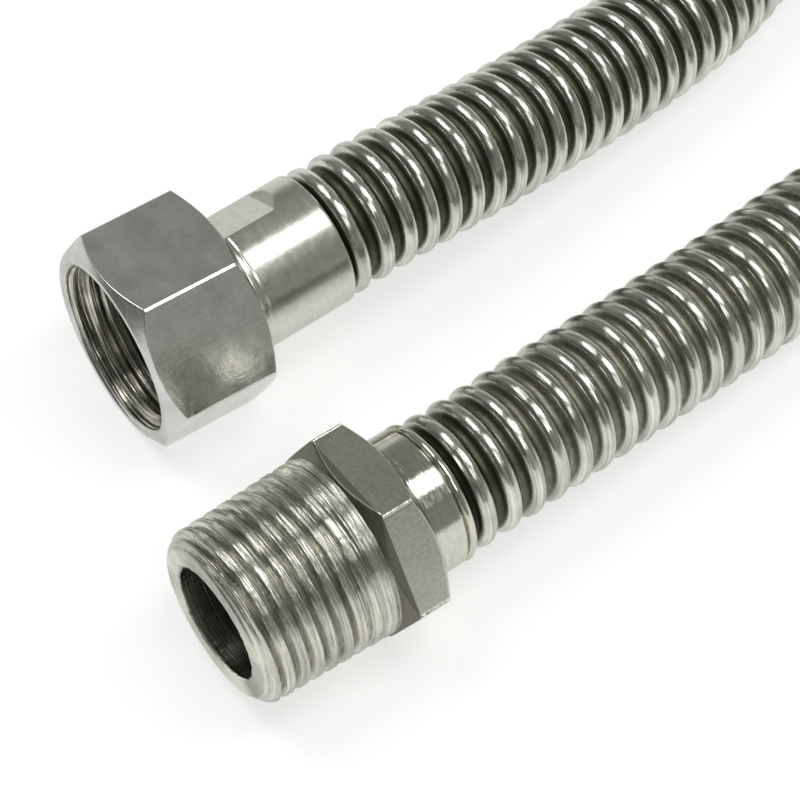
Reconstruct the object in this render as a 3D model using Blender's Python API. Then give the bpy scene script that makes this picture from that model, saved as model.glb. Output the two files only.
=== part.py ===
# Corrugated stainless steel hose with a swivel nut on one end and a male taper thread on the other.
# Metres, +Z up. +X runs from the loop of the hose to the open ends of the fittings. It lies on Z = 0.
import math

import bmesh
import bpy
import numpy as np
from mathutils import Euler, Vector

MM = 0.001
SIDES = 36

# gaps
WELD_GAP = 0.35 * MM
NUT_GAP = 0.70 * MM
CUT_PAST = 1.00 * MM  # how far a cutter reaches past the faces it cuts

# hose
HOSE_CREST_R = 8.15 * MM
HOSE_WALL = 0.30 * MM
HOSE_BORE_R = 6.10 * MM
HOSE_PITCH = 3.30 * MM
HOSE_CUFF = 2.60 * MM
HOSE_STRAIGHT = 2.00 * MM  # how far it leaves a fitting before it bends
HOSE_SIDES = 12

# sleeve that carries the nut
SLEEVE_R = 8.30 * MM
SLEEVE_BORE_R = 5.80 * MM
SLEEVE_LENGTH = 17.90 * MM
FLANGE_GAP = 0.10 * MM
FLANGE_THICK = 1.50 * MM
UNDERCUT = 0.25 * MM
SPANNER_FLATS = 15.0 * MM
FLATS_FROM_FLANGE = 1.20 * MM
FLATS_TO_END = 4.70 * MM
FLATS_RUNOUT = 1.30 * MM
TOOL_GROOVES = (1.00 * MM, 1.90 * MM)
TOOL_GROOVE_DEPTH = 0.16 * MM
TOOL_GROOVE_WIDTH = 0.50 * MM

# swivel nut, G 1/2
NUT_FLATS = 24.0 * MM
NUT_LENGTH = 14.60 * MM
NUT_BACK_WALL = 2.30 * MM
NUT_THREAD_MINOR_R = 9.32 * MM
NUT_MOUTH_R = 10.85 * MM
NUT_MOUTH_DEPTH = 1.30 * MM
NUT_RELIEF_R = 10.55 * MM
NUT_RELIEF_LENGTH = 2.90 * MM
NUT_FACE_R = 11.45 * MM
NUT_FRONT_CHAMFER = 1.75 * MM
NUT_BACK_FACE_R = 11.70 * MM
NUT_BACK_CHAMFER = 1.25 * MM
NUT_SLACK = 0.90 * MM

# male fitting, R 1/2
THREAD_FRONT_R = 10.22 * MM
THREAD_TAPER = 1 / 32
THREAD_LENGTH = 15.60 * MM
THREAD_FACE_R = 8.90 * MM
THREAD_CHAMFER = 1.25 * MM
MALE_BORE_R = 6.65 * MM
BORE_EDGE = 0.30 * MM
HEX_FLATS = 22.0 * MM
HEX_START = 16.50 * MM
HEX_LENGTH = 6.20 * MM
HEX_FACE_R = 10.60 * MM
HEX_CHAMFER = 1.30 * MM
NECK_R = 8.35 * MM
NECK_LENGTH = 3.00 * MM
NECK_GROOVE_DEPTH = 0.55 * MM
COLLAR_R = 8.45 * MM
COLLAR_LENGTH = 3.35 * MM
COLLAR_SHOULDER = 0.28 * MM
COLLAR_END_DROP = 0.85 * MM

# where the fittings lie, with each angle in degrees
NUT_MOUTH = (0.1230, -0.0213)
NUT_YAW = -6.5
SLEEVE_SIDE_SHIFT = 0.30 * MM
SLEEVE_LIFT = 0.12 * MM
SLEEVE_YAW = -5.0
SLEEVE_PITCH = 2.8
SPANNER_FLAT_TURN = 25.4
MALE_FACE = (0.13726, 0.01531)
MALE_YAW = -4.5

# route of the hose from the sleeve to the male fitting, in mm: x, y and how far it is lifted off the table
ROUTE = [
    (85.3, -17.6, 4.75), (75.2, -17.3, 3.95), (64.0, -17.6, 2.65), (52.8, -18.1, 1.4), (42.0, -18.7, 0.6),
    (31.6, -19.9, 0.15), (11.4, -26.6, 0), (-5.9, -38.9, 0), (-21.9, -53.0, 0), (-40.6, -63.2, 0),
    (-61.4, -67.0, 0), (-82.6, -64.1, 0), (-101.6, -54.7, 0), (-116.7, -39.9, 0), (-126.5, -20.9, 0),
    (-129.9, 0, 0), (-126.5, 20.9, 0), (-116.7, 39.9, 0), (-101.6, 54.7, 0), (-82.6, 64.1, 0),
    (-61.4, 67.0, 0), (-40.6, 63.2, 0), (-21.9, 53.0, 0), (-5.9, 38.9, 0), (11.4, 26.6, 0),
    (31.6, 19.8, 0), (42.2, 18.6, 0.05), (52.8, 18.4, 0.25), (64.0, 18.6, 0.75), (78.0, 18.6, 1.65),
    (92.0, 18.4, 2.55),
]

HOSE_GROOVE_R = HOSE_BORE_R + HOSE_WALL
SOCKET_R = HOSE_GROOVE_R + WELD_GAP
SOCKET_DEPTH = HOSE_CUFF + WELD_GAP
FLANGE_R = NUT_THREAD_MINOR_R - FLANGE_GAP
SLEEVE_START = NUT_LENGTH - NUT_BACK_WALL - NUT_SLACK - FLANGE_THICK
SLEEVE_END = SLEEVE_START + SLEEVE_LENGTH
HEX_END = HEX_START + HEX_LENGTH
NECK_END = HEX_END + NECK_LENGTH
MALE_END = NECK_END + COLLAR_LENGTH


def clear_scene():
    for item in list(bpy.data.objects):
        bpy.data.objects.remove(item)


def make_material(name, colour, roughness):
    material = bpy.data.materials.new(name)
    material.use_nodes = True
    shader = material.node_tree.nodes["Principled BSDF"]
    shader.inputs["Base Color"].default_value = (*colour, 1.0)
    shader.inputs["Roughness"].default_value = roughness
    shader.inputs["Metallic"].default_value = 1.0
    return material


def add_object(name, bm):
    bmesh.ops.recalc_face_normals(bm, faces=bm.faces)
    mesh = bpy.data.meshes.new(name)
    bm.to_mesh(mesh)
    bm.free()
    obj = bpy.data.objects.new(name, mesh)
    bpy.context.scene.collection.objects.link(obj)
    return obj


def lathe(name, profile, sides=SIDES):
    """Turns a closed outline of (station, radius) round the X axis. Stations run towards -X."""
    bm = bmesh.new()
    rings = []
    for station, radius in profile:
        if radius < 1e-9:
            rings.append([bm.verts.new((-station, 0, 0))])
            continue
        ring = []
        for k in range(sides):
            angle = 2 * math.pi * k / sides
            ring.append(bm.verts.new((-station, radius * math.cos(angle), radius * math.sin(angle))))
        rings.append(ring)
    for first, second in zip(rings, rings[1:] + rings[:1]):
        if len(first) == 1 and len(second) == 1:
            continue
        for k in range(sides):
            corners = [first[k % len(first)], first[(k + 1) % len(first)]]
            corners += [second[(k + 1) % len(second)], second[k % len(second)]]
            bm.faces.new(list(dict.fromkeys(corners)))
    return add_object(name, bm)


def prism(name, outline, start, end):
    """Stands an outline of (y, z) along the X axis between two stations."""
    bm = bmesh.new()
    front = [bm.verts.new((-start, y, z)) for y, z in outline]
    back = [bm.verts.new((-end, y, z)) for y, z in outline]
    bm.faces.new(front)
    bm.faces.new(back)
    for k in range(len(outline)):
        after = (k + 1) % len(outline)
        bm.faces.new((front[k], front[after], back[after], back[k]))
    return add_object(name, bm)


def combine(obj, tool, operation):
    modifier = obj.modifiers.new(operation.lower(), "BOOLEAN")
    modifier.operation = operation
    modifier.solver = "EXACT"
    modifier.object = tool
    tool.hide_render = True
    tool.display_type = "WIRE"


def settle(obj, material):
    """Turns the booleans into a plain mesh with smooth round faces and crisp edges."""
    graph = bpy.context.evaluated_depsgraph_get()
    mesh = bpy.data.meshes.new_from_object(obj.evaluated_get(graph))
    obj.modifiers.clear()
    obj.data = mesh
    mesh.materials.clear()
    mesh.materials.append(material)
    mesh.shade_smooth()
    mesh.set_sharp_from_angle(angle=math.radians(28))


def hexagon(flats):
    corner = flats / 2 / math.cos(math.pi / 6)
    return [(corner * math.cos(k * math.pi / 3), corner * math.sin(k * math.pi / 3)) for k in range(6)]


def chamfered_hex(name, flats, start, end, front_r, front_depth, back_r, back_depth):
    """A hexagon with both ends turned to a cone. Its cone reaches just past the corners."""
    corner = flats / 2 / math.cos(math.pi / 6)
    wide = corner * 1.05
    front_slope = front_depth / (corner - front_r)
    back_slope = back_depth / (corner - back_r)
    cone = lathe(name + "_cone", [
        (start, 0),
        (start, front_r),
        (start + front_slope * (wide - front_r), wide),
        (end - back_slope * (wide - back_r), wide),
        (end, back_r),
        (end, 0),
    ], 72)
    body = prism(name, hexagon(flats), start - CUT_PAST, end + CUT_PAST)
    combine(body, cone, "INTERSECT")
    return body


def direction(yaw, pitch=0.0):
    """The way the stations of a fitting run."""
    along = Vector((-1, 0, 0))
    along.rotate(Euler((0, math.radians(pitch), math.radians(yaw))))
    return along


def nut_point(station):
    return Vector((*NUT_MOUTH, NUT_FLATS / 2)) + direction(NUT_YAW) * station


def sleeve_point(station):
    """The sleeve sits a little askew in the loose nut. It is placed by the middle of the nut's back hole."""
    back_hole = NUT_LENGTH - NUT_BACK_WALL / 2
    aside = direction(NUT_YAW - 90) * SLEEVE_SIDE_SHIFT + Vector((0, 0, SLEEVE_LIFT))
    return nut_point(back_hole) + aside + direction(SLEEVE_YAW, SLEEVE_PITCH) * (station - back_hole)


def male_point(station):
    return Vector((*MALE_FACE, HEX_FLATS / 2)) + direction(MALE_YAW) * station


def place(obj, point, yaw, pitch=0.0):
    obj.rotation_euler = Euler((0, math.radians(pitch), math.radians(yaw)))
    obj.location = point


def make_swivel_nut(material):
    back_hole = SLEEVE_R + NUT_GAP
    inside = NUT_LENGTH - NUT_BACK_WALL
    relief = inside - NUT_RELIEF_LENGTH
    nut = chamfered_hex("swivel_nut", NUT_FLATS, 0, NUT_LENGTH, NUT_FACE_R, NUT_FRONT_CHAMFER,
                        NUT_BACK_FACE_R, NUT_BACK_CHAMFER)
    bore = lathe("nut_bore", [
        (-CUT_PAST, 0),
        (-CUT_PAST, NUT_MOUTH_R),
        (0, NUT_MOUTH_R),
        (NUT_MOUTH_DEPTH, NUT_THREAD_MINOR_R),
        (relief, NUT_THREAD_MINOR_R),
        (relief + 0.6 * MM, NUT_RELIEF_R),
        (inside, NUT_RELIEF_R),
        (inside, back_hole),
        (NUT_LENGTH + CUT_PAST, back_hole),
        (NUT_LENGTH + CUT_PAST, 0),
    ])
    combine(nut, bore, "DIFFERENCE")
    settle(nut, material)
    place(nut, nut_point(0), NUT_YAW)
    return nut


def flat_cutter(name):
    """Cuts one spanner flat, with a sloping run-out where the cutter stopped."""
    bm = bmesh.new()
    half = SPANNER_FLATS / 2
    depth = SLEEVE_R - half
    start = SLEEVE_START + FLANGE_THICK + FLATS_FROM_FLANGE
    end = SLEEVE_END - FLATS_TO_END
    top = SLEEVE_R + 2 * depth
    side = [
        (start, half),
        (end, half),
        (end + FLATS_RUNOUT * 3, top),
        (start, top),
    ]
    wide = SLEEVE_R * 1.2
    left = [bm.verts.new((-t, -wide, r)) for t, r in side]
    right = [bm.verts.new((-t, wide, r)) for t, r in side]
    bm.faces.new(left)
    bm.faces.new(right)
    for k in range(4):
        after = (k + 1) % 4
        bm.faces.new((left[k], left[after], right[after], right[k]))
    return add_object(name, bm)


def make_nut_sleeve(material):
    flange_end = SLEEVE_START + FLANGE_THICK
    outline = [
        (SLEEVE_START, SLEEVE_BORE_R),
        (SLEEVE_START, FLANGE_R - 0.2 * MM),
        (SLEEVE_START + 0.2 * MM, FLANGE_R),
        (flange_end, FLANGE_R),
        (flange_end, SLEEVE_R - UNDERCUT),
        (flange_end + 0.6 * MM, SLEEVE_R - UNDERCUT),
        (flange_end + 0.9 * MM, SLEEVE_R),
    ]
    for past_nut in TOOL_GROOVES:
        station = NUT_LENGTH + past_nut
        outline += [
            (station - TOOL_GROOVE_WIDTH / 2, SLEEVE_R),
            (station, SLEEVE_R - TOOL_GROOVE_DEPTH),
            (station + TOOL_GROOVE_WIDTH / 2, SLEEVE_R),
        ]
    outline += [
        (SLEEVE_END - 0.3 * MM, SLEEVE_R),
        (SLEEVE_END, SLEEVE_R - 0.25 * MM),
        (SLEEVE_END, SOCKET_R),
        (SLEEVE_END - SOCKET_DEPTH, SOCKET_R),
        (SLEEVE_END - SOCKET_DEPTH, SLEEVE_BORE_R),
    ]
    sleeve = lathe("nut_sleeve", outline)
    for number, turn in enumerate((SPANNER_FLAT_TURN, SPANNER_FLAT_TURN + 180)):
        cutter = flat_cutter("sleeve_flat_%d" % number)
        cutter.rotation_euler = (math.radians(turn), 0, 0)
        combine(sleeve, cutter, "DIFFERENCE")
    settle(sleeve, material)
    place(sleeve, sleeve_point(0), SLEEVE_YAW, SLEEVE_PITCH)
    return sleeve


def make_male_fitting(material):
    thread_end_r = THREAD_FRONT_R + THREAD_LENGTH * THREAD_TAPER
    groove = NECK_R - NECK_GROOVE_DEPTH
    outline = [
        (0, 0),
        (0, THREAD_FACE_R),
        (THREAD_CHAMFER, THREAD_FRONT_R + THREAD_CHAMFER * THREAD_TAPER),
        (THREAD_LENGTH, thread_end_r),
        (HEX_START + 0.5 * MM, thread_end_r),
        (HEX_END - 0.5 * MM, NECK_R),
        (NECK_END - 0.45 * MM, NECK_R),
        (NECK_END - 0.2 * MM, groove),
        (NECK_END + 0.1 * MM, groove),
        (NECK_END + COLLAR_LENGTH * 0.22, COLLAR_R - COLLAR_SHOULDER),
        (NECK_END + COLLAR_LENGTH * 0.48, COLLAR_R),
        (NECK_END + COLLAR_LENGTH * 0.76, COLLAR_R - COLLAR_SHOULDER),
        (MALE_END, COLLAR_R - COLLAR_END_DROP),
        (MALE_END, 0),
    ]
    male = lathe("male_fitting", outline)
    hexagon_blank = chamfered_hex("male_hex", HEX_FLATS, HEX_START, HEX_END, HEX_FACE_R, HEX_CHAMFER,
                                  HEX_FACE_R, HEX_CHAMFER)
    combine(male, hexagon_blank, "UNION")
    bore = lathe("male_bore", [
        (-CUT_PAST, 0),
        (-CUT_PAST, MALE_BORE_R + BORE_EDGE + CUT_PAST),
        (BORE_EDGE, MALE_BORE_R),
        (MALE_END - SOCKET_DEPTH, MALE_BORE_R),
        (MALE_END - SOCKET_DEPTH, SOCKET_R),
        (MALE_END + CUT_PAST, SOCKET_R),
        (MALE_END + CUT_PAST, 0),
    ])
    combine(male, bore, "DIFFERENCE")
    settle(male, material)
    place(male, male_point(0), MALE_YAW)
    return male


def smooth_route(points, steps=40):
    """Reads a natural cubic spline through the points, closely enough to measure along it."""
    points = np.array(points)
    knots = np.concatenate([[0], np.cumsum(np.linalg.norm(np.diff(points, axis=0), axis=1))])
    gaps = np.diff(knots)
    count = len(points)
    matrix = np.eye(count)
    right = np.zeros((count, 3))
    for k in range(1, count - 1):
        matrix[k, k - 1] = gaps[k - 1]
        matrix[k, k] = 2 * (gaps[k - 1] + gaps[k])
        matrix[k, k + 1] = gaps[k]
        after = (points[k + 1] - points[k]) / gaps[k]
        before = (points[k] - points[k - 1]) / gaps[k - 1]
        right[k] = 6 * (after - before)
    bends = np.linalg.solve(matrix, right)
    line = []
    for k in range(count - 1):
        t = np.linspace(0, gaps[k], steps, endpoint=False)[:, None]
        slope = (points[k + 1] - points[k]) / gaps[k] - gaps[k] * (2 * bends[k] + bends[k + 1]) / 6
        twist = (bends[k + 1] - bends[k]) / (6 * gaps[k])
        line.append(points[k] + slope * t + bends[k] * t**2 / 2 + twist * t**3)
    line.append(points[-1:])
    return np.concatenate(line)


def hose_route():
    """The centre line of the hose, straight where each cuff sits in its fitting and never below the table."""
    straight = (-HOSE_CUFF, 0, HOSE_STRAIGHT)
    route = [sleeve_point(SLEEVE_END + past) for past in straight]
    route += [Vector((x * MM, y * MM, HOSE_CREST_R + lift * MM)) for x, y, lift in ROUTE]
    route += [male_point(MALE_END + past) for past in reversed(straight)]
    line = smooth_route([tuple(point) for point in route])
    line[:, 2] = np.maximum(line[:, 2], HOSE_CREST_R)
    return line


def hose_rings(line):
    """(distance along the line, outer radius) of each outer ring, with whole waves between the cuffs."""
    length = float(np.linalg.norm(np.diff(line, axis=0), axis=1).sum())
    free = length - 2 * HOSE_CUFF
    waves = round(free / HOSE_PITCH)
    pitch = free / waves
    rings = [(0.0, HOSE_GROOVE_R), (HOSE_CUFF, HOSE_GROOVE_R)]
    for k in range(waves):
        start = HOSE_CUFF + k * pitch
        rings.append((start + pitch / 2, HOSE_CREST_R))
        rings.append((start + pitch, HOSE_GROOVE_R))
    rings.append((length, HOSE_GROOVE_R))
    return rings


def ring_points(line, distances, radii):
    """Points round the line, with one of them at the top and one at the bottom of every ring."""
    along = np.concatenate([[0], np.cumsum(np.linalg.norm(np.diff(line, axis=0), axis=1))])
    centres = np.stack([np.interp(distances, along, line[:, k]) for k in range(3)], 1)
    slopes = np.gradient(line, along, axis=0)
    ways = np.stack([np.interp(distances, along, slopes[:, k]) for k in range(3)], 1)
    ways /= np.linalg.norm(ways, axis=1)[:, None]
    across = np.cross(ways, (0, 0, 1))
    across /= np.linalg.norm(across, axis=1)[:, None]
    up = np.cross(across, ways)
    turns = 2 * np.pi * np.arange(HOSE_SIDES) / HOSE_SIDES
    spokes = np.cos(turns)[None, :, None] * up[:, None] + np.sin(turns)[None, :, None] * across[:, None]
    return centres[:, None] + spokes * np.array(radii)[:, None, None]


def make_hose(material):
    line = hose_route()
    rings = hose_rings(line)
    distances = [distance for distance, _ in rings]
    outer = ring_points(line, distances, [radius for _, radius in rings])
    inner_at = distances[:2] + distances[5:-2:4] + distances[-2:]
    inner = ring_points(line, inner_at, [HOSE_BORE_R] * len(inner_at))
    loops = list(outer) + list(inner[::-1])
    bm = bmesh.new()
    made = [[bm.verts.new(point) for point in loop] for loop in loops]
    for first, second in zip(made, made[1:] + made[:1]):
        for k in range(HOSE_SIDES):
            after = (k + 1) % HOSE_SIDES
            bm.faces.new((first[k], first[after], second[after], second[k]))
    hose = add_object("corrugated_hose", bm)
    settle(hose, material)
    return hose


clear_scene()
make_hose(make_material("hose_steel", (0.62, 0.61, 0.58), 0.22))
make_nut_sleeve(make_material("sleeve_steel", (0.60, 0.59, 0.55), 0.25))
make_swivel_nut(make_material("nut_steel", (0.52, 0.51, 0.48), 0.38))
make_male_fitting(make_material("male_steel", (0.54, 0.53, 0.49), 0.32))
for tool in [item for item in bpy.data.objects if item.hide_render]:
    bpy.data.objects.remove(tool)
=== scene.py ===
import math

import bmesh
import bpy
import numpy as np
from mathutils import Euler, Matrix, Quaternion, Vector


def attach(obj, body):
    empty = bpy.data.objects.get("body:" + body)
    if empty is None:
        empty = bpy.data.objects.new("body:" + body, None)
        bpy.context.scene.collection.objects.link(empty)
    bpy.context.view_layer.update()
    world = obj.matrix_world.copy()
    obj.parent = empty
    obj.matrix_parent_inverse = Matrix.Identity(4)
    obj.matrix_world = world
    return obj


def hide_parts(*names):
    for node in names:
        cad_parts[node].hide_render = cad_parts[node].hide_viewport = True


mm = 0.001
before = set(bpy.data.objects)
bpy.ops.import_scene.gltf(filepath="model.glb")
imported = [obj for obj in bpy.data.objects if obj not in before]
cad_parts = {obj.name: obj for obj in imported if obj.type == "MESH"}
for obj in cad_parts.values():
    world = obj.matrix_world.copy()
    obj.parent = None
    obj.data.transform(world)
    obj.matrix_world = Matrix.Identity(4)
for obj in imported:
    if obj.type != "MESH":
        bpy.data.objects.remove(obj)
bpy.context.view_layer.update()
print("frame loaded:", ", ".join(sorted(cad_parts)))


# --- node kit: sockets that take plain arithmetic, and one way to add any node
class Sock:
    def __init__(self, kit, socket):
        self.kit, self.socket = kit, socket

    def math(self, operation, *others):
        node = self.kit.node("ShaderNodeMath", {"operation": operation}, dict(enumerate((self, *others))))
        return self.kit.out(node)

    def __add__(self, other): return self.math("ADD", other)
    def __sub__(self, other): return self.math("SUBTRACT", other)
    def __mul__(self, other): return self.math("MULTIPLY", other)
    def __truediv__(self, other): return self.math("DIVIDE", other)
    def __neg__(self): return self.math("MULTIPLY", -1.0)
    def __rsub__(self, other): return (-self) + other
    def __rtruediv__(self, other): return self.math("POWER", -1.0) * other


class Kit:
    def __init__(self, tree):
        self.tree = tree

    def node(self, kind, settings=None, values=None):
        node = self.tree.nodes.new(kind)
        for key, value in (settings or {}).items():
            if key == "stops":                      # a colour ramp's (place, colour) pairs
                ramp = node.color_ramp
                while len(ramp.elements) < len(value):
                    ramp.elements.new(0.5)
                for element, (place, colour) in zip(ramp.elements, value):
                    element.position = place
                    element.color = (*colour, 1)
            else:
                setattr(node, key, value)
        for key, value in (values or {}).items():
            self.feed(node.inputs[key], value)
        return node

    def feed(self, socket, value):
        if isinstance(value, Sock):
            self.tree.links.new(value.socket, socket)
        else:
            socket.default_value = value

    def out(self, node, name=0):
        return Sock(self, node.outputs[name])

    def ramp(self, value, start, end, low=0.0, high=1.0):
        # an eased step from low to high
        return self.out(self.node("ShaderNodeMapRange", {"interpolation_type": "SMOOTHSTEP"}, {
            "Value": value, "From Min": start, "From Max": end, "To Min": low, "To Max": high}))

    def blend(self, share, first, second):
        mix = self.node("ShaderNodeMix", {"data_type": "RGBA"}, {"Factor": share})
        for slot, colour in (("A_Color", first), ("B_Color", second)):
            socket = next(i for i in mix.inputs if i.identifier == slot)
            self.feed(socket, colour if isinstance(colour, Sock) else (*colour, 1))
        return self.out(mix, 2)

    def shade(self, colour, amount):
        # multiplies a colour by a grey
        node = self.node("ShaderNodeVectorMath", {"operation": "SCALE"}, {"Scale": amount})
        self.feed(node.inputs[0], colour if isinstance(colour, Sock) else Vector(colour))
        return self.out(node)


def newShapeTree(name, numbers):
    tree = bpy.data.node_groups.new(name, "GeometryNodeTree")
    tree.interface.new_socket("Geometry", in_out="INPUT", socket_type="NodeSocketGeometry")
    sockets = {}
    for label, kind in numbers.items():
        socket = tree.interface.new_socket(label, in_out="INPUT", socket_type="NodeSocket" + kind)
        sockets[label] = socket.identifier
    tree.interface.new_socket("Geometry", in_out="OUTPUT", socket_type="NodeSocketGeometry")
    kit = Kit(tree)
    start = kit.node("NodeGroupInput")
    given = {label: kit.out(start, label) for label in ["Geometry", *numbers]}
    return tree, kit, given, sockets


def keepAs(kit, geometry, name, kind, value):
    node = kit.node("GeometryNodeStoreNamedAttribute", {"data_type": kind, "domain": "POINT"},
                    {"Geometry": geometry, "Name": name, "Value": value})
    return kit.out(node)


def readBack(kit, name, kind="FLOAT"):
    return kit.out(kit.node("GeometryNodeInputNamedAttribute", {"data_type": kind}, {"Name": name}))


def growMesh(name, points, fields, tree, sockets, values):
    # a bare line of points, grown into a mesh by the tree and left as plain faces
    seedMesh = bpy.data.meshes.new(name)
    seedMesh.from_pydata([tuple(p) for p in points], [(k, k + 1) for k in range(len(points) - 1)], [])
    for label, numbers in fields.items():
        layer = seedMesh.attributes.new(label, "FLOAT", "POINT")
        layer.data.foreach_set("value", np.asarray(numbers, np.float32))
    seed = bpy.data.objects.new(name + "Seed", seedMesh)
    bpy.context.scene.collection.objects.link(seed)
    modifier = seed.modifiers.new(tree.name, "NODES")
    modifier.node_group = tree
    for label, value in values.items():
        modifier[sockets[label]] = value
    bpy.context.view_layer.update()
    grown = bpy.data.meshes.new_from_object(seed.evaluated_get(bpy.context.evaluated_depsgraph_get()))
    grown.name = name
    bpy.data.objects.remove(seed)
    bpy.data.meshes.remove(seedMesh)
    return grown


def faceOut(mesh):
    # turns the whole shell round if it encloses less than nothing
    mesh.calc_loop_triangles()
    points = np.empty(len(mesh.vertices) * 3, np.float32)
    mesh.vertices.foreach_get("co", points)
    faces = np.empty(len(mesh.loop_triangles) * 3, np.int32)
    mesh.loop_triangles.foreach_get("vertices", faces)
    a, b, c = points.reshape(-1, 3)[faces.reshape(-1, 3)].transpose(1, 0, 2).astype(float)
    if np.einsum("ij,ij->i", a, np.cross(b, c)).sum() < 0:
        mesh.flip_normals()
    return len(mesh.loop_triangles)


def addPiece(name, mesh, body, node):
    piece = bpy.data.objects.new(name, mesh)
    bpy.context.scene.collection.objects.link(piece)
    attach(piece, body)
    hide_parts(node)
    return piece


# --- camera: the place and lens that the photograph's edges give
view = {
    "place": (0.2202, 0.1517, 0.24215),
    "heading": -128.71,     # degrees round Z
    "tilt": -50.995,
    "roll": -2.815,
    "lens": 120.2,          # mm, on a 36 mm square sensor
}


def addCamera(v):
    heading, tilt, roll = (math.radians(v[key]) for key in ("heading", "tilt", "roll"))
    ahead = Vector((math.cos(tilt) * math.cos(heading), math.cos(tilt) * math.sin(heading), math.sin(tilt)))
    level = ahead.cross(Vector((0, 0, 1))).normalized()
    above = level.cross(ahead)
    right = level * math.cos(roll) + above * math.sin(roll)
    up = above * math.cos(roll) - level * math.sin(roll)
    data = bpy.data.cameras.new("studioCamera")
    data.lens = v["lens"]
    data.sensor_width = 36
    data.clip_start, data.clip_end = 0.01, 20
    camera = bpy.data.objects.new("studioCamera", data)
    camera.matrix_world = Matrix.Translation(v["place"]) @ Matrix((right, up, -ahead)).transposed().to_4x4()
    bpy.context.scene.collection.objects.link(camera)
    bpy.context.scene.camera = camera


addCamera(view)
print("camera set")


# --- how the fittings lie: the frame's own places, with each angle in degrees
lay = {
    "nutMouth": (123.0, -21.3, 12.0),
    "nutYaw": -6.5,
    "nutLength": 14.6,
    "nutBackWall": 2.3,
    "sleeveSide": 0.30,
    "sleeveLift": 0.12,
    "sleeveYaw": -5.0,
    "sleevePitch": 2.8,
    "sleeveEnd": 27.8,
    "maleFace": (137.26, 15.31, 11.0),
    "maleYaw": -4.5,
    "maleEnd": 29.05,
}


def runsTo(yaw, pitch=0.0):
    along = Vector((-1, 0, 0))
    along.rotate(Euler((0, math.radians(pitch), math.radians(yaw))))
    return along


def fitPlace(point, yaw, pitch=0.0):
    turn = Euler((0, math.radians(pitch), math.radians(yaw))).to_matrix().to_4x4()
    return Matrix.Translation(Vector(point) * mm) @ turn


def sleevePoint(station):
    backHole = lay["nutLength"] - lay["nutBackWall"] / 2
    middle = Vector(lay["nutMouth"]) + runsTo(lay["nutYaw"]) * backHole
    aside = runsTo(lay["nutYaw"] - 90) * lay["sleeveSide"] + Vector((0, 0, lay["sleeveLift"]))
    return middle + aside + runsTo(lay["sleeveYaw"], lay["sleevePitch"]) * (station - backHole)


def malePoint(station):
    return Vector(lay["maleFace"]) + runsTo(lay["maleYaw"]) * station


# --- hose
hoseSizes = {               # mm
    "crest": 8.15,
    "pitch": 3.30,
    "crestShare": 0.60,     # of each wave that is crest
    "cuff": 2.60,
    "cuffRadius": 6.40,
    "straight": 2,          # how far it leaves a fitting before it bends
    "lip": 0.3,             # the step between a cuff and the first wave
    "wall": 0.30,
    "boreStep": 1.40,
    "sides": 38,
}
hoseRoute = [               # mm: x, y and the lift off the table
    (85.3, -17.6, 4.75), (75.2, -17.3, 3.95), (64.0, -17.6, 2.65), (52.8, -18.1, 1.4), (42.0, -18.7, 0.6),
    (31.6, -19.9, 0.15), (11.4, -26.6, 0), (-5.9, -38.9, 0), (-21.9, -53.0, 0), (-40.6, -63.2, 0),
    (-61.4, -67.0, 0), (-82.6, -64.1, 0), (-101.6, -54.7, 0), (-116.7, -39.9, 0), (-126.5, -20.9, 0),
    (-129.9, 0, 0), (-126.5, 20.9, 0), (-116.7, 39.9, 0), (-101.6, 54.7, 0), (-82.6, 64.1, 0),
    (-61.4, 67.0, 0), (-40.6, 63.2, 0), (-21.9, 53.0, 0), (-5.9, 38.9, 0), (11.4, 26.6, 0),
    (31.6, 19.8, 0), (42.2, 18.6, 0.05), (52.8, 18.4, 0.25), (64.0, 18.6, 0.75), (78.0, 18.6, 1.65),
    (92.0, 18.4, 2.55),
]


def smoothLine(points, steps=40):
    # a natural cubic spline, read closely enough to measure along it
    points = np.array(points)
    knots = np.concatenate([[0], np.cumsum(np.linalg.norm(np.diff(points, axis=0), axis=1))])
    gaps = np.diff(knots)
    count = len(points)
    matrix, right = np.eye(count), np.zeros((count, 3))
    for k in range(1, count - 1):
        matrix[k, k - 1:k + 2] = gaps[k - 1], 2 * (gaps[k - 1] + gaps[k]), gaps[k]
        right[k] = 6 * ((points[k + 1] - points[k]) / gaps[k] - (points[k] - points[k - 1]) / gaps[k - 1])
    bends = np.linalg.solve(matrix, right)
    line = []
    for k in range(count - 1):
        t = np.linspace(0, gaps[k], steps, endpoint=False)[:, None]
        slope = (points[k + 1] - points[k]) / gaps[k] - gaps[k] * (2 * bends[k] + bends[k + 1]) / 6
        swing = (bends[k + 1] - bends[k]) / (6 * gaps[k])
        line.append(points[k] + slope * t + bends[k] * t**2 / 2 + swing * t**3)
    return np.concatenate([*line, points[-1:]])


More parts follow.
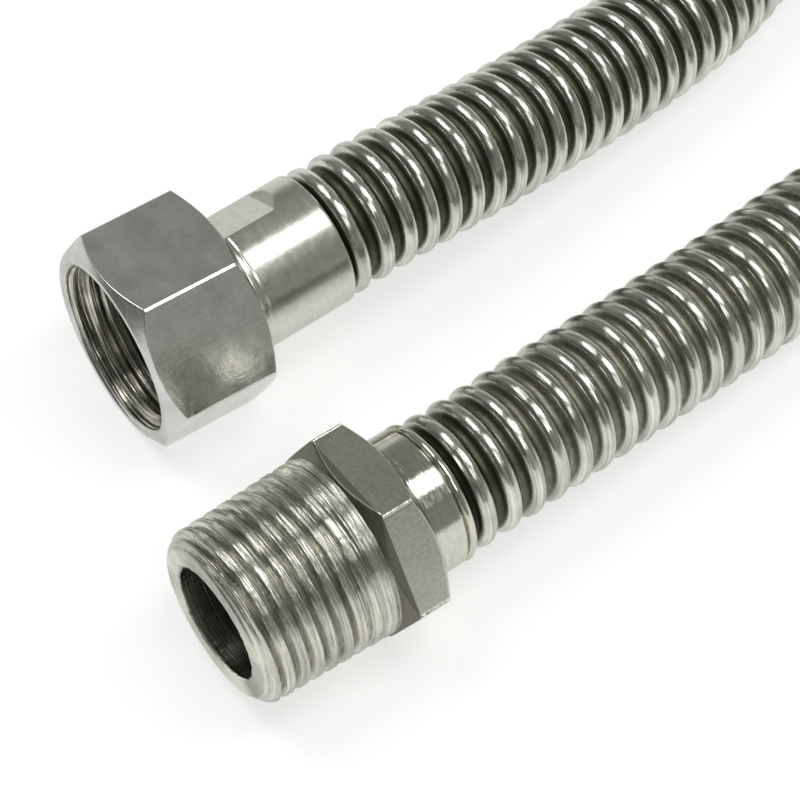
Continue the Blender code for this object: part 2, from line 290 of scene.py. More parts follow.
def hoseCentres(s):
    straight = (-s["cuff"], 0, s["straight"])
    stops = [sleevePoint(lay["sleeveEnd"] + past) for past in straight]
    stops += [Vector((x, y, s["crest"] + lift)) for x, y, lift in hoseRoute]
    stops += [malePoint(lay["maleEnd"] + past) for past in reversed(straight)]
    line = smoothLine([tuple(p) for p in stops])
    line[:, 2] = np.maximum(line[:, 2], s["crest"])
    along = np.concatenate([[0], np.cumsum(np.linalg.norm(np.diff(line, axis=0), axis=1))])
    free = along[-1] - 2 * s["cuff"]
    waves = round(free / s["pitch"])
    pitch = free / waves
    crest, groove = s["crestShare"] * pitch / 2, (1 - s["crestShare"]) * pitch / 2
    # rows at these degrees round a groove and over a crest
    inGroove = [groove * math.sin(math.radians(a)) for a in (0, 50, 85)]
    onCrest = [groove + crest * (1 - math.cos(math.radians(a))) for a in (12, 38, 64, 90, 116, 142, 168)]
    wave = inGroove + onCrest + [pitch - inGroove[2], pitch - inGroove[1]]
    places = [0, s["cuff"] - s["lip"]]
    places += [s["cuff"] + k * pitch + step for k in range(waves) for step in wave]
    places += [along[-1] - s["cuff"], along[-1] - s["cuff"] + s["lip"], along[-1]]
    centres = np.stack([np.interp(places, along, line[:, k]) for k in range(3)], 1)
    return centres * mm, float(along[-1]) * mm, pitch, waves


def bellowsTree():
    tree, kit, given, sockets = newShapeTree("bellowsHose", {
        "Sides": "Int", "Crest Radius": "Float", "Crest Share": "Float", "Pitch": "Float", "Cuff": "Float",
        "Cuff Radius": "Float", "Wall": "Float", "Bore Step": "Float", "Finish": "Material"})
    line = kit.out(kit.node("GeometryNodeMeshToCurve", None, {"Mesh": given["Geometry"]}))
    line = kit.out(kit.node("GeometryNodeSetCurveNormal", {"mode": "Z_UP"}, {"Curve": line}))
    rim = kit.out(kit.node("GeometryNodeCurvePrimitiveCircle", {"mode": "RADIUS"},
                           {"Resolution": given["Sides"], "Radius": 1.0}))
    rim = keepAs(kit, rim, "turn", "FLOAT", kit.out(kit.node("GeometryNodeSplineParameter")) * (2 * math.pi))
    far = kit.out(kit.node("GeometryNodeSplineParameter"), "Length")
    half = given["Pitch"] / 2
    crest, groove = half * given["Crest Share"], half * (1 - given["Crest Share"])
    middle = given["Crest Radius"] - crest
    off = (far - given["Cuff"]).math("WRAP", half, -half).math("ABSOLUTE")
    dip = middle - (groove * groove - off * off).math("MAXIMUM", 0.0).math("SQRT")
    past = off - half
    bump = middle + (crest * crest - past * past).math("MAXIMUM", 0.0).math("SQRT")
    inGroove = off.math("LESS_THAN", groove)
    wave = dip * inGroove + bump * (1 - inGroove)
    whole = kit.out(kit.node("GeometryNodeCurveLength", None, {"Curve": line}))
    inCuff = (far.math("LESS_THAN", given["Cuff"] - 0.1 * mm)
              + far.math("GREATER_THAN", whole - given["Cuff"] + 0.1 * mm)).math("MINIMUM", 1.0)
    radius = wave * (1 - inCuff) + given["Cuff Radius"] * inCuff
    rise = radius - given["Cuff Radius"]
    crestness = (rise / (given["Crest Radius"] - given["Cuff Radius"])).math("MAXIMUM", 0.0)
    shells = kit.node("GeometryNodeJoinGeometry")
    inner = kit.out(kit.node("GeometryNodeResampleCurve", {"mode": "LENGTH"},
                             {"Curve": line, "Length": given["Bore Step"]}))
    # the bore follows the waves half as deep
    bore = given["Cuff Radius"] - given["Wall"] + rise * 0.5
    for path, size, turned in ((line, radius, False), (inner, bore, True)):
        path = keepAs(kit, keepAs(kit, path, "along", "FLOAT", far), "crest", "FLOAT", crestness)
        shell = kit.out(kit.node("GeometryNodeCurveToMesh", None,
                                 {"Curve": path, "Profile Curve": rim, "Scale": size}))
        if turned:
            shell = kit.out(kit.node("GeometryNodeFlipFaces", None, {"Mesh": shell}))
        kit.tree.links.new(shell.socket, shells.inputs["Geometry"])
    turn = readBack(kit, "turn")
    ring = kit.out(kit.node("ShaderNodeCombineXYZ", None, {
        "X": readBack(kit, "along"), "Y": turn.math("COSINE") * given["Crest Radius"],
        "Z": turn.math("SINE") * given["Crest Radius"]}))
    both = keepAs(kit, kit.out(shells), "local", "FLOAT_VECTOR", ring)
    both = kit.out(kit.node("GeometryNodeRealizeInstances", None, {"Geometry": both}))
    both = kit.out(kit.node("GeometryNodeSetShadeSmooth", None, {"Geometry": both, "Shade Smooth": True}))
    both = kit.out(kit.node("GeometryNodeSetMaterial", None, {"Geometry": both, "Material": given["Finish"]}))
    kit.node("NodeGroupOutput", None, {"Geometry": both})
    return tree, sockets


def closeEnds(mesh, ends, reach):
    # joins the outer and the inner wall with a flat ring at each end
    shell = bmesh.new()
    shell.from_mesh(mesh)
    for end in ends:
        loose = [e for e in shell.edges if e.is_boundary and (e.verts[0].co - end).length < reach]
        bmesh.ops.bridge_loops(shell, edges=loose)
    bmesh.ops.recalc_face_normals(shell, faces=shell.faces)
    for face in shell.faces:
        face.smooth = True
    shell.to_mesh(mesh)
    shell.free()


# --- steel finishes, all in the coordinates that the shapes store
class Finish(Kit):
    # one metal surface: its nodes, its local coordinates in metres and its shader
    def __init__(self, name):
        self.material = bpy.data.materials.new(name)
        self.material.use_nodes = True
        super().__init__(self.material.node_tree)
        self.shader = self.tree.nodes["Principled BSDF"]
        self.shader.inputs["Metallic"].default_value = 1.0
        self.shader.inputs["Specular Tint"].default_value = (0.80, 0.80, 0.78, 1)
        parts = self.node("ShaderNodeSeparateXYZ", None, {"Vector": self.read("local", "Vector")})
        self.x, self.y, self.z = (self.out(parts, axis) for axis in "XYZ")
        self.bumps = None

    def read(self, name, socket="Fac"):
        return self.out(self.node("ShaderNodeAttribute", {"attribute_name": name}), socket)

    def noise(self, along, around, detail, rough=0.5, warp=0.0):
        # along: changes per metre down the axis; around: changes per metre across it
        vector = self.out(self.node("ShaderNodeCombineXYZ", None, {
            "X": self.x * along, "Y": self.y * around, "Z": self.z * around}))
        return self.out(self.node("ShaderNodeTexNoise", None, {
            "Vector": vector, "Scale": 1.0, "Detail": detail, "Roughness": rough, "Distortion": warp}))

    def bump(self, height, depth, strength=1.0):
        values = {"Height": height, "Distance": depth, "Strength": strength}
        if self.bumps:
            values["Normal"] = self.bumps
        self.bumps = self.out(self.node("ShaderNodeBump", None, values))

    def done(self, colour, rough):
        self.feed(self.shader.inputs["Base Color"], colour)
        self.feed(self.shader.inputs["Roughness"], rough)
        if self.bumps:
            self.feed(self.shader.inputs["Normal"], self.bumps)
        return self.material


def hoseSteel(look):
    f = Finish("drawnHoseSteel")
    lines = f.noise(3600, 55, 4.0, 0.7)
    clouds = f.noise(260, 260, 3.0)
    # painted shade: the grooves are painted dark, less dark on the last stretch before the male fitting
    top = f.ramp(f.read("crest"), *look["grooveEdge"])
    lighterShade = f.ramp(f.x, *look["lighterShadeFrom"]) * (1 - f.ramp(f.x, *look["lighterShadeTo"]))
    groove = f.blend(lighterShade, look["groove"], look["lighterGrooveShade"])
    groove = f.shade(groove, f.ramp(f.noise(2600, 900, 3.0, 0.7), 0.32, 0.68, 0.80, 1.18))
    steel = f.shade(look["colour"], f.ramp(lines * 0.75 + clouds * 0.25, 0.32, 0.70, 0.52, 1.22))
    f.bump(lines, 0.055 * mm)
    f.bump(f.noise(1000, 700, 3.0), 0.045 * mm)
    rough = top * (look["rough"] - look["grooveRough"]) + look["grooveRough"]
    return f.done(f.blend(top, groove, steel), rough + (lines - 0.5) * 0.10)


def nutSteel(look):
    f = Finish("satinBarSteel")
    flat, inside = f.read("flatness"), f.read("inside")
    clouds = f.noise(160, 160, 4.0, 0.6, 0.6)
    patches = f.noise(420, 300, 5.0, 0.65)
    grain = f.noise(2200, 2200, 3.0, 0.7)
    lines = f.noise(3600, 40, 3.0, 0.65)
    drawn = f.noise(90, 3600, 2.0, 0.6)
    mottle = f.ramp(clouds * 0.5 + patches * 0.35 + drawn * 0.15, 0.30, 0.72, 0.80, 1.12)
    # painted shade: the turned faces are painted darker than the flats
    steel = f.shade(look["colour"], mottle * (flat * 0.28 + 0.80))
    # painted shade: the threaded bore is painted darker, streaked by the tool lines
    boreShade = f.shade(look["root"], f.ramp(lines * 0.7 + patches * 0.3, 0.34, 0.66, 0.35, 1.9))
    f.bump((grain * 0.6 + drawn * 0.2 + patches * 0.5) * flat, 0.034 * mm)
    f.bump((lines * 0.6 + patches * 0.4) * inside, 0.14 * mm)
    f.bump(clouds, 0.065 * mm, 0.7)
    rough = flat * (look["flatRough"] - look["rough"]) + look["rough"]
    return f.done(f.blend(inside, steel, boreShade), rough + (patches - 0.5) * 0.16 + (grain - 0.5) * 0.08)


def sleeveSteel(look):
    f = Finish("turnedSleeveSteel")
    lines = f.noise(3000, 30, 4.0, 0.7)
    clouds = f.noise(260, 260, 4.0, 0.6, 0.4)
    fine = f.noise(1500, 900, 3.0, 0.6)
    steel = f.shade(look["colour"], f.ramp(lines * 0.3 + clouds * 0.4 + fine * 0.3, 0.3, 0.72, 0.84, 1.08))
    f.bump(lines, 0.016 * mm, 0.8)
    f.bump(clouds, 0.012 * mm, 0.6)
    return f.done(steel, (fine - 0.5) * 0.08 + (clouds - 0.5) * 0.10 + look["rough"])


def maleSteel(look):
    f = Finish("threadedSteel")
    flat, root, inside = f.read("flatness"), f.read("root"), f.read("inside")
    neck = f.ramp(f.x * -1, *look["neckFrom"])
    rubbed = (1 - flat) * (1 - neck * 0.75)
    clouds = f.noise(180, 180, 4.0, 0.6, 0.4)
    grain = f.noise(2600, 2600, 3.0, 0.7)
    lines = f.noise(2700, 35, 4.0, 0.75)
    torn = f.noise(1800, 190, 4.0, 0.7, 0.3)
    tone = f.ramp(torn * 0.30 + lines * 0.50 + clouds * 0.20, 0.34, 0.66, 0.40, 1.22)
    tone = tone * rubbed + f.ramp(clouds * 0.4 + grain * 0.6, 0.3, 0.72, 0.84, 1.06) * (1 - rubbed)
    steel = f.shade(look["colour"], tone)
    # painted shade: the thread valleys, the bore and the cone in front of the hexagon are painted dark
    dark = (f.ramp(root, 0.55, 1.0) * 0.85 + inside).math("MINIMUM", 1.0)
    steel = f.blend(dark, steel, look["root"])
    f.bump(grain, 0.006 * mm, 0.8)
    f.bump(lines * rubbed, 0.130 * mm)
    f.bump(torn * rubbed, 0.050 * mm, 0.9)
    f.bump(clouds * neck, 0.060 * mm)
    rough = flat * (look["flatRough"] - look["rough"]) + look["rough"] + (torn - 0.5) * 0.25 * rubbed
    return f.done(steel, rough + (grain - 0.5) * 0.10 + dark * 0.2 - neck * look["rough"] * 0.5)


finishes = {                # pairs are metres along the piece, and grooveEdge is the share of a crest's height
    "hose": {
        "colour": (0.68, 0.675, 0.62), "rough": 0.17,
        # the two groove colours are painted shade, the second one lighter for the grooves near the male
        # fitting
        "groove": (0.095, 0.092, 0.068), "grooveRough": 0.46, "grooveEdge": (0.30, 0.74),
        "lighterGrooveShade": (0.25, 0.245, 0.20), "lighterShadeFrom": (0.440, 0.510), "lighterShadeTo": (0.556, 0.568),
    },
    # root is the colour of the painted shade in the nut's bore
    "nut": {"colour": (0.74, 0.74, 0.715), "rough": 0.22, "flatRough": 0.15, "root": (0.39, 0.38, 0.335)},
    "sleeve": {"colour": (0.64, 0.635, 0.575), "rough": 0.24},
    "male": {
        # root is the colour of the painted shade in the thread valleys, the bore and the cone
        "colour": (0.63, 0.625, 0.555), "rough": 0.20, "flatRough": 0.21, "root": (0.14, 0.135, 0.11),
        "neckFrom": (0.0228, 0.0231),
    },
}
hoseFinish = hoseSteel(finishes["hose"])
nutFinish = nutSteel(finishes["nut"])
sleeveFinish = sleeveSteel(finishes["sleeve"])
maleFinish = maleSteel(finishes["male"])
print("steel finishes ready")


def makeHose(s, finish):
    centres, length, pitch, waves = hoseCentres(s)
    tree, sockets = bellowsTree()
    mesh = growMesh("bellows", centres, {}, tree, sockets, {
        "Sides": s["sides"], "Crest Radius": s["crest"] * mm, "Crest Share": s["crestShare"],
        "Pitch": pitch * mm, "Cuff": s["cuff"] * mm, "Cuff Radius": s["cuffRadius"] * mm,
        "Wall": s["wall"] * mm, "Bore Step": s["boreStep"] * mm, "Finish": finish})
    closeEnds(mesh, (Vector(centres[0]), Vector(centres[-1])), 1.5 * s["crest"] * mm)
    triangles = faceOut(mesh)
    hose = addPiece("bellows", mesh, "hose", "corrugated_hose")
    print("hose:", waves, "waves,", round(length / mm, 1), "mm,", triangles, "triangles")
    return hose, centres, length


hose, centres, hoseLength = makeHose(hoseSizes, hoseFinish)


# --- turned parts: a closed section of rows, spun round the axis, with flats, a thread and small faults
def turnedTree():
    tree, kit, given, sockets = newShapeTree("turnedPart", {
        "Columns": "Int", "Flat Count": "Float", "Flat Turn": "Float", "Gather": "Float",
        "Edge Rounding": "Float", "Thread Pitch": "Float", "Thread Turn": "Float", "Crest Flat": "Float",
        "Fault Size": "Float", "Ridge Depth": "Float", "Finish": "Material"})
    size = kit.node("GeometryNodeAttributeDomainSize", None, {"Geometry": given["Geometry"]})
    rows = kit.out(size, "Point Count")
    grid = kit.out(kit.node("GeometryNodeMeshGrid", None, {
        "Size X": 1.0, "Size Y": 1.0, "Vertices X": rows, "Vertices Y": given["Columns"] + 1}))
    where = kit.node("ShaderNodeSeparateXYZ", None, {
        "Vector": kit.out(kit.node("GeometryNodeInputPosition"))})
    row = ((kit.out(where, "X") + 0.5) * (rows - 1)).math("ROUND")
    spin = ((kit.out(where, "Y") + 0.5) * given["Columns"]).math("ROUND") / given["Columns"] * (2 * math.pi)
    field = {}
    for name in ("station", "radius", "across", "thread", "fault", "inside", "soft"):
        sample = kit.node("GeometryNodeSampleIndex", {"data_type": "FLOAT", "domain": "POINT"},
                          {"Geometry": given["Geometry"], "Value": readBack(kit, name), "Index": row})
        field[name] = kit.out(sample)
    # columns gather at the corners between the flats
    turned = spin - given["Flat Turn"]
    angle = spin + (turned * given["Flat Count"]).math("SINE") * given["Gather"] / given["Flat Count"]
    half = math.pi / given["Flat Count"]
    fromFlat = (angle - given["Flat Turn"]).math("WRAP", half, -half)
    flat = field["across"] / fromFlat.math("COSINE").math("MAXIMUM", 0.05)
    # right-handed thread: the station of a crest falls as the angle grows
    turns = field["station"] / given["Thread Pitch"] + angle / (2 * math.pi) + given["Thread Turn"]
    phase = turns.math("FRACT")
    cut = kit.ramp((phase * 2 - 1).math("ABSOLUTE"), given["Crest Flat"], 1.0)
    spot = kit.out(kit.node("ShaderNodeCombineXYZ", None, {
        "X": field["station"] * 600, "Y": angle.math("COSINE") * 6, "Z": angle.math("SINE") * 6}))
    noise = kit.out(kit.node("ShaderNodeTexNoise", None, {"Vector": spot, "Scale": 1.0, "Detail": 2.0}))
    faults = (noise - 0.5) * field["fault"] * given["Fault Size"]
    # three fine tool ridges to each turn of the thread
    ridges = (phase * (6 * math.pi)).math("SINE") * field["fault"].math("MINIMUM", 1.0) * given["Ridge Depth"]
    plain = field["radius"] - field["thread"] * cut + faults + ridges
    radius = plain.math("SMOOTH_MIN", flat, given["Edge Rounding"] * field["soft"])
    place = kit.out(kit.node("ShaderNodeCombineXYZ", None, {
        "X": -field["station"], "Y": angle.math("COSINE") * radius, "Z": angle.math("SINE") * radius}))
    # everything that reads the grid is stored before its points move
    body = keepAs(kit, grid, "local", "FLOAT_VECTOR", place)
    body = keepAs(kit, body, "flatness", "FLOAT", (plain - flat).math("GREATER_THAN", 0.0))
    depth = (field["thread"].math("ABSOLUTE") / mm).math("MINIMUM", 1.0)
    # root and inside are the masks where the nut and male finishes paint shade
    body = keepAs(kit, body, "root", "FLOAT", cut * depth)
    body = keepAs(kit, body, "inside", "FLOAT", field["inside"])
    body = kit.out(kit.node("GeometryNodeSetPosition", None, {
        "Geometry": body, "Position": readBack(kit, "local", "FLOAT_VECTOR")}))
    body = kit.out(kit.node("GeometryNodeMergeByDistance", None, {"Geometry": body, "Distance": 0.000002}))
    body = kit.out(kit.node("GeometryNodeSetShadeSmooth", None, {"Geometry": body, "Shade Smooth": True}))
    body = kit.out(kit.node("GeometryNodeSetMaterial", None, {"Geometry": body, "Material": given["Finish"]}))
    body = kit.out(kit.node("GeometryNodeRealizeInstances", None, {"Geometry": body}))
    kit.node("NodeGroupOutput", None, {"Geometry": body})
    return tree, sockets


def softSection(corners):
    # corners in mm, (station, radius, rounding, spacing of the rows that follow), made a fine closed section
    count = len(corners)
    points = [Vector(c[:2]) for c in corners]
    rows = []
    for k, (_, _, soft, _) in enumerate(corners):
        before, here, after = points[k - 1], points[k], points[(k + 1) % count]
        soft = min(soft, (here - before).length * 0.45, (after - here).length * 0.45)
        start = here + (before - here).normalized() * soft
        end = here + (after - here).normalized() * soft
        if rows:
            step, last = corners[k - 1][3], rows[-1]
            pieces = max(1, math.ceil((start - last).length / step))
            # a guard row close to each corner keeps the shading of a long face flat
            guard = [0.06 / max((start - last).length, 0.2)] if pieces > 1 else []
            shares = sorted([n / pieces for n in range(1, pieces)] + guard + [1 - g for g in guard])
            rows += [last.lerp(start, share) for share in shares]
        for share in (0, 0.25, 0.5, 0.75, 1):
            rows.append(start.lerp(here, share).lerp(here.lerp(end, share), share))
    last, first = rows[-1], rows[0]
    pieces = max(1, math.ceil((first - last).length / corners[-1][3]))
    rows += [last.lerp(first, n / pieces) for n in range(1, pieces + 1)]
    return rows


def spinPiece(name, s, corners, fields, place, finish, node, body):
    rows = softSection(corners)
    values = {"station": [p.x * mm for p in rows], "radius": [p.y * mm for p in rows]}
    for label in ("across", "thread", "fault", "inside", "soft"):
        values[label] = [fields[label](p.x, p.y) for p in rows]
    tree, sockets = turnedPart
    mesh = growMesh(name, [(p.x * mm, 0, p.y * mm) for p in rows], values, tree, sockets, {
        "Columns": s["columns"], "Flat Count": s["flatCount"], "Flat Turn": math.radians(s["flatTurn"]),
        "Gather": s["gather"], "Edge Rounding": s["rounding"] * mm, "Thread Pitch": s["pitch"] * mm,
        "Thread Turn": s["threadTurn"], "Crest Flat": s["crestFlat"], "Fault Size": s["faults"] * mm,
        "Ridge Depth": s["ridges"] * mm, "Finish": finish})
    mesh.transform(place)
    triangles = faceOut(mesh)
    print(name + ":", len(rows), "rows,", triangles, "triangles")
    return addPiece(name, mesh, body, node)


turnedPart = turnedTree()
farAway = 1.0               # metres, where a row has no flats


# --- swivel nut
nutSizes = {                # mm, with its angles in degrees
    "flats": 24.0, "length": 14.6, "backWall": 2.3, "faceRadius": 11.45, "frontChamfer": 1.75,
    "backFaceRadius": 11.70, "backChamfer": 1.25, "mouthRadius": 10.85, "edgeDepth": 0.35,
    "threadStart": 10.40, "mouthDepth": 2.2, "minorRadius": 9.32, "threadDepth": 1.00, "pitch": 1.814,
    "threadTurn": 0.6, "crestFlat": 0.12, "runIn": 0.3, "runOut": 0.6,
    "reliefRadius": 10.55, "relief": 2.90, "backHole": 9.00,
    "flatCount": 6.0, "flatTurn": 30.0, "cornerLoss": 0.08, "rounding": 0.11, "coneSoftness": 1.2,
    "faults": 0.08, "ridges": 0.07, "columns": 336, "gather": 0.7,
}


def makeNut(s, finish):
    corner = s["flats"] / 2 / math.cos(math.pi / 6)
    wide = corner - s["cornerLoss"]
    front = s["frontChamfer"] * (wide - s["faceRadius"]) / (corner - s["faceRadius"])
    back = s["backChamfer"] * (wide - s["backFaceRadius"]) / (corner - s["backFaceRadius"])
    inner = s["length"] - s["backWall"]
    relief = inner - s["relief"]
    corners = [
        (0, s["mouthRadius"], 0.06, 0.2), (0, s["faceRadius"], 0.05, 0.05), (front, wide, 0.08, 0.7),
        (s["length"] - back, wide, 0.08, 0.05), (s["length"], s["backFaceRadius"], 0.06, 0.5),
        (s["length"], s["backHole"], 0.15, 0.5), (inner, s["backHole"], 0.10, 0.5),
        (inner, s["reliefRadius"], 0.20, 0.5), (relief + s["runOut"], s["reliefRadius"], 0.10, 0.3),
        (relief, s["minorRadius"], 0.05, 0.13), (s["mouthDepth"], s["minorRadius"], 0.30, 0.10),
        (s["edgeDepth"], s["threadStart"], 0.06, 0.10),
    ]

    def thread(station, radius):
        # the grooves start in the cone of the mouth and run out into the relief
        if station > relief or radius < s["minorRadius"] - 0.01:
            return 0.0
        root = s["minorRadius"] + s["threadDepth"]
        share = min((relief - station) / s["runOut"], station / s["runIn"], 1.0)
        return -max(0.0, root - radius) * mm * share

    def inside(station, radius):
        # where the nut's finish paints shade in the threaded bore
        return 1.0 if s["runIn"] < station and radius < s["threadStart"] + 0.25 else 0.0

    def soft(station, radius):
        return 1.0 if front < station < s["length"] - back else s["coneSoftness"]

    return spinPiece("hexNut", s, corners, {
        "across": lambda station, radius: s["flats"] / 2 * mm, "thread": thread,
        "fault": lambda station, radius: 1.0 if radius < s["mouthRadius"] else 0.0,
        "inside": inside, "soft": soft,
    }, fitPlace(lay["nutMouth"], lay["nutYaw"]), finish, "swivel_nut", "nut")


# --- sleeve
sleeveSizes = {             # mm, with its angles in degrees
    "radius": 8.30, "bore": 5.80, "start": 9.90, "end": 27.80, "endDrop": 0.25,
    "flange": 9.22, "flangeThick": 1.50, "undercut": 0.25, "undercutLength": 0.6, "undercutCone": 0.3,
    "rings": (15.60, 16.50), "ringDepth": 0.06, "ringWidth": 0.50, "socket": 6.75, "socketDepth": 2.95,
    "flats": 15.0, "flatsStart": 12.6, "flatsEnd": 23.1, "runOut": 1.30,
    "flatCount": 2.0, "flatTurn": 115.4, "rounding": 0.04, "columns": 240, "gather": 0.0,
    "pitch": 1.814, "threadTurn": 0.0, "crestFlat": 0.2, "faults": 0.0, "ridges": 0.0,  # it has no thread
}


def makeSleeve(s, finish):
    r, flangeEnd = s["radius"], s["start"] + s["flangeThick"]
    low, neckEnd = r - s["undercut"], flangeEnd + s["undercutLength"]
    corners = [
        (s["start"], s["bore"], 0.10, 0.5), (s["start"], s["flange"], 0.20, 0.4),
        (flangeEnd, s["flange"], 0.10, 0.4), (flangeEnd, low, 0.05, 0.3), (neckEnd, low, 0.05, 0.3),
        (neckEnd + s["undercutCone"], r, 0.05, 0.3)]
    for ring in s["rings"]:
        corners += [(ring - s["ringWidth"] / 2, r, 0.06, 0.1), (ring, r - s["ringDepth"], 0.06, 0.1),
                    (ring + s["ringWidth"] / 2, r, 0.06, 0.15)]
    socketFloor = s["end"] - s["socketDepth"]
    corners += [
        (s["end"] - 0.3, r, 0.08, 0.1), (s["end"], r - s["endDrop"], 0.10, 0.3),
        (s["end"], s["socket"], 0.05, 0.5), (socketFloor, s["socket"], 0.05, 0.3),
        (socketFloor, s["bore"], 0.05, 0.8)]
    depth = r - s["flats"] / 2

    def across(station, radius):
        if station < s["flatsStart"]:
            return farAway
        past = max(0.0, station - s["flatsEnd"])
        return (s["flats"] / 2 + past * depth / s["runOut"]) * mm

    return spinPiece("nutSleeve", s, corners, {
        "across": across, "thread": lambda station, radius: 0.0, "fault": lambda station, radius: 0.0,
        "inside": lambda station, radius: 1.0 if radius < s["socket"] + 0.1 else 0.0,
        "soft": lambda station, radius: 1.0,
    }, fitPlace(sleevePoint(0), lay["sleeveYaw"], lay["sleevePitch"]), finish,
        "nut_sleeve", "hose")


# --- male fitting
maleSizes = {               # mm, with its angles in degrees
    "threadFront": 10.22, "taper": 1 / 32, "threadLength": 15.6, "faceRadius": 8.90, "chamfer": 1.25,
    "pitch": 1.814, "threadDepth": 0.90, "threadTurn": 0.0, "crestFlat": 0.45, "runOut": 5.0,
    "bore": 6.65, "boreEdge": 0.30, "flats": 22.0, "hexStart": 16.5, "hexLength": 6.2, "hexFace": 10.6,
    "hexChamfer": 1.30, "neck": 8.35, "neckLength": 4.45, "neckGroove": 0.60, "collar": 8.45,
    "collarLength": 1.90, "socket": 6.75, "socketDepth": 2.95,
    "flatCount": 6.0, "flatTurn": 30.0, "cornerLoss": 0.10, "rounding": 0.12, "coneSoftness": 2.8,
    "coneShadow": 0.92, "faults": 0.18, "ridges": 0.055, "nicks": 3.0, "columns": 258, "gather": 0.6,
}


def makeMale(s, finish):
    corner = s["flats"] / 2 / math.cos(math.pi / 6)
    wide = corner - s["cornerLoss"]
    slope = s["hexChamfer"] * (wide - s["hexFace"]) / (corner - s["hexFace"])
    hexEnd = s["hexStart"] + s["hexLength"]
    neckEnd = hexEnd + s["neckLength"]
    end = neckEnd + s["collarLength"]
    threadEnd = s["threadFront"] + s["threadLength"] * s["taper"]
    groove, collar = s["neck"] - s["neckGroove"], s["collar"]
    chamferTop = s["threadFront"] + s["chamfer"] * s["taper"]
    socketFloor = end - s["socketDepth"]
    corners = [
        (s["boreEdge"], s["bore"], 0.08, 0.1), (0, s["bore"] + s["boreEdge"], 0.10, 0.3),
        (0, s["faceRadius"], 0.12, 0.14), (s["chamfer"], chamferTop, 0.05, 0.15),
        (s["threadLength"], threadEnd, 0.05, 0.15), (s["hexStart"], threadEnd, 0.05, 0.3),
        (s["hexStart"] + 0.01, s["hexFace"] + 0.15, 0.05, 0.10), (s["hexStart"] + slope, wide, 0.08, 0.5),
        (hexEnd - slope, wide, 0.08, 0.10), (hexEnd, s["hexFace"], 0.06, 0.4), (hexEnd, s["neck"], 0.25, 0.3),
        (neckEnd - 0.10, s["neck"], 0.08, 0.1), (neckEnd, groove, 0.05, 0.1),
        (neckEnd + 0.22, groove, 0.08, 0.1), (neckEnd + 0.30, collar - 0.40, 0.10, 0.08),
        (neckEnd + 0.50, collar - 0.10, 0.20, 0.08), (neckEnd + 0.85, collar, 0.25, 0.08),
        (neckEnd + 1.20, collar - 0.18, 0.20, 0.08), (end - 0.35, collar - 0.70, 0.15, 0.10),
        (end, collar - 1.15, 0.08, 0.3), (end, s["socket"], 0.05, 0.5),
        (socketFloor, s["socket"], 0.05, 0.1), (socketFloor, s["bore"], 0.05, 0.8),
    ]

    def thread(station, radius):
        if radius < s["faceRadius"] - 0.1 or station >= s["hexStart"]:
            return 0.0
        root = s["threadFront"] + station * s["taper"] - s["threadDepth"]
        runOut = min((s["hexStart"] - station) / s["runOut"], 1.0) ** 1.3
        return max(0.0, radius - root) * mm * runOut

    def fault(station, radius):
        # the worn thread, and the nicked edge of the bore
        if station < s["threadLength"] and radius > s["faceRadius"] + 0.1:
            return 1.0
        return s["nicks"] if radius < s["bore"] + 0.45 and station < 1.5 else 0.0

    def inside(station, radius):
        # painted shade: the bore, and the turned cone in front of the hexagon
        if s["hexStart"] < station < s["hexStart"] + slope - 0.05:
            return s["coneShadow"]
        return 1.0 if radius < s["socket"] + 0.1 and station > 0.2 else 0.0

    def soft(station, radius):
        return 1.0 if s["hexStart"] + slope < station < hexEnd - slope else s["coneSoftness"]

    return spinPiece("maleThread", s, corners, {
        "across": lambda station, radius: s["flats"] / 2 * mm, "thread": thread,
        "fault": fault, "inside": inside, "soft": soft,
    }, fitPlace(lay["maleFace"], lay["maleYaw"]), finish, "male_fitting", "hose")


makeNut(nutSizes, nutFinish)
makeSleeve(sleeveSizes, sleeveFinish)
male = makeMale(maleSizes, maleFinish)
print("fittings turned")


# --- studio
studio = {                  # metres, and degrees
    "floor": 1.0, "floorFar": 0.30, "paperGlow": 0.62, "paper": 0.52, "blue": 0.995,
    "floorHalf": 3.0, "floorDrop": 0.0002, "poolMiddle": (-0.20, -0.25, 0), "poolEdge": (0.50, 0.85),
    "dark": (0.30, 0.305, 0.28), "zenith": (0.24, 0.245, 0.225), "below": (1.0, 1.0, 0.99),
    "backdrop": (1.0, 1.0, 0.98), "backdropHeading": -128, "backdropSide": (0.62, 0.90),
    "backdropTop": (0.42, 0.05), "openSide": 0.6, "openFrom": (0.25, 0.85),
    "lampsAim": (0.09, 0, 0.01), "lampPlace": 0.9,
    # where each soft box hangs seen from the fittings, its turn in degrees, its two sizes and its brightness
    "lamps": [((0.17, -0.391, 0.904), 0, 0.38, 0.40, 4.6), ((-0.23, 0.280, 0.932), -25, 0.58, 0.34, 4.2),
              ((0.14, 0.645, 0.751), 0, 0.36, 0.28, 2.8)],
}


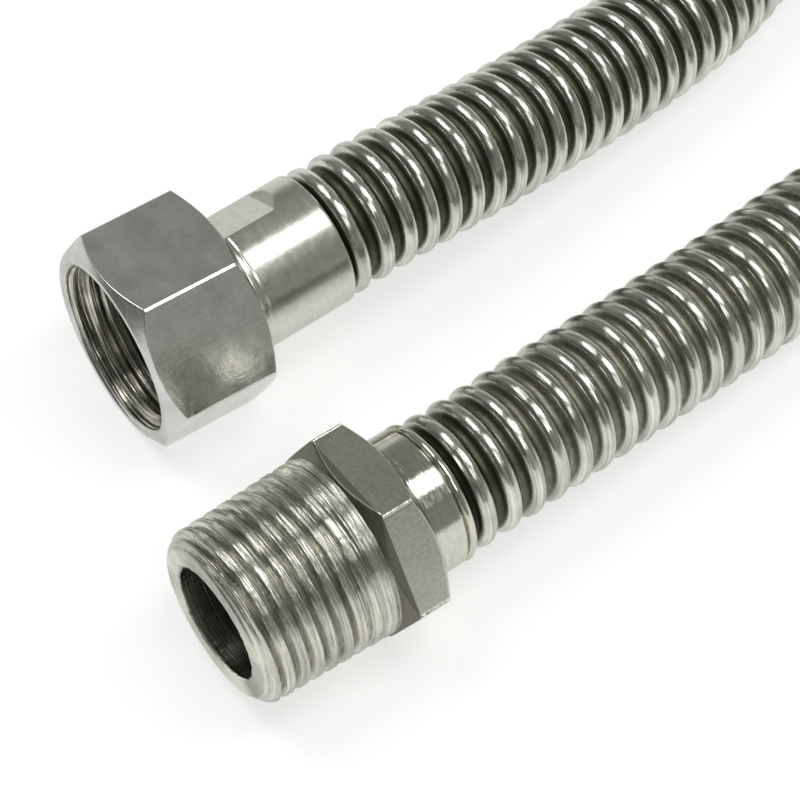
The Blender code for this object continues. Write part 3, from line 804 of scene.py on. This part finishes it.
def addFloor(s):
    half, level = s["floorHalf"], -s["floorDrop"]
    mesh = bpy.data.meshes.new("studioFloor")
    mesh.from_pydata([(x, y, level) for x, y in ((-half, -half), (half, -half), (half, half), (-half, half))],
                     [], [(0, 1, 2, 3)])
    floor = bpy.data.objects.new("studioFloor", mesh)
    bpy.context.scene.collection.objects.link(floor)
    paper = bpy.data.materials.new("whitePaper")
    paper.use_nodes = True
    kit = Kit(paper.node_tree)
    kit.tree.nodes.clear()
    # painted light: the paper glows, brightest in a pool that fades into the dim room
    spot = kit.out(kit.node("ShaderNodeTexCoord"), "Object")
    far = kit.out(kit.node("ShaderNodeVectorMath", {"operation": "DISTANCE"}, {
        0: spot, 1: Vector(s["poolMiddle"])}), "Value")
    fade = kit.ramp(far, *s["poolEdge"], s["floor"], s["floorFar"])
    # mostly glowing paper, a painted light, which takes only a faint shadow from the soft boxes
    glowing, plain = (kit.out(kit.node("ShaderNodeCombineColor", None, {
        "Red": tone, "Green": tone, "Blue": tone * s["blue"]})) for tone in (fade, s["paper"]))
    glow = kit.node("ShaderNodeEmission", None, {"Strength": s["paperGlow"], "Color": glowing})
    lit = kit.node("ShaderNodeBsdfDiffuse", None, {"Color": plain})
    both = kit.node("ShaderNodeAddShader", None, {0: kit.out(glow), 1: kit.out(lit)})
    kit.node("ShaderNodeOutputMaterial", None, {"Surface": kit.out(both)})
    mesh.materials.append(paper)


def addRoom(s):
    # a dim room with a white paper wall behind the hose
    world = bpy.data.worlds.new("studioRoom")
    world.use_nodes = True
    kit = Kit(world.node_tree)
    way = kit.node("ShaderNodeSeparateXYZ", None, {
        "Vector": kit.out(kit.node("ShaderNodeTexCoord"), "Generated")})
    x, y, z = (kit.out(way, axis) for axis in "XYZ")
    heading = math.radians(s["backdropHeading"])
    wall = kit.ramp(x * math.cos(heading) + y * math.sin(heading), *s["backdropSide"])
    low = kit.ramp(z, *s["backdropTop"])
    away = kit.ramp(x, *s["openFrom"])
    tones = [(0.0, s["below"]), (0.38, s["below"]), (0.50, s["dark"]), (1.0, s["zenith"])]
    room = kit.out(kit.node("ShaderNodeValToRGB", {"stops": tones}, {"Fac": z * 0.5 + 0.5}))
    above = kit.out(kit.node("ShaderNodeMapRange", None, {"Value": z, "From Min": 0.0, "From Max": 0.05}))
    room = kit.shade(room, 1 - away * above * s["openSide"])
    kit.feed(kit.tree.nodes["Background"].inputs["Color"], kit.blend(wall * low, room, s["backdrop"]))
    bpy.context.scene.world = world


def addLamps(s):
    for way, skew, sizeX, sizeY, glow in s["lamps"]:
        lamp = bpy.data.lights.new("softBox", "AREA")
        lamp.shape, lamp.size, lamp.size_y = "RECTANGLE", sizeX, sizeY
        lamp.energy = glow * sizeX * sizeY * math.pi
        box = bpy.data.objects.new("softBox", lamp)
        back = Vector(way).normalized()
        side = (Vector((1, 0, 0)) - back * back.x).normalized()
        side.rotate(Quaternion(back, math.radians(skew)))
        turn = Matrix((side, back.cross(side), back)).transposed()
        box.location = Vector(s["lampsAim"]) + back * s["lampPlace"]
        box.rotation_euler = turn.to_euler()
        bpy.context.scene.collection.objects.link(box)


addFloor(studio)
addRoom(studio)
addLamps(studio)
bpy.context.scene.view_settings.view_transform = "Standard"
print("studio lit")
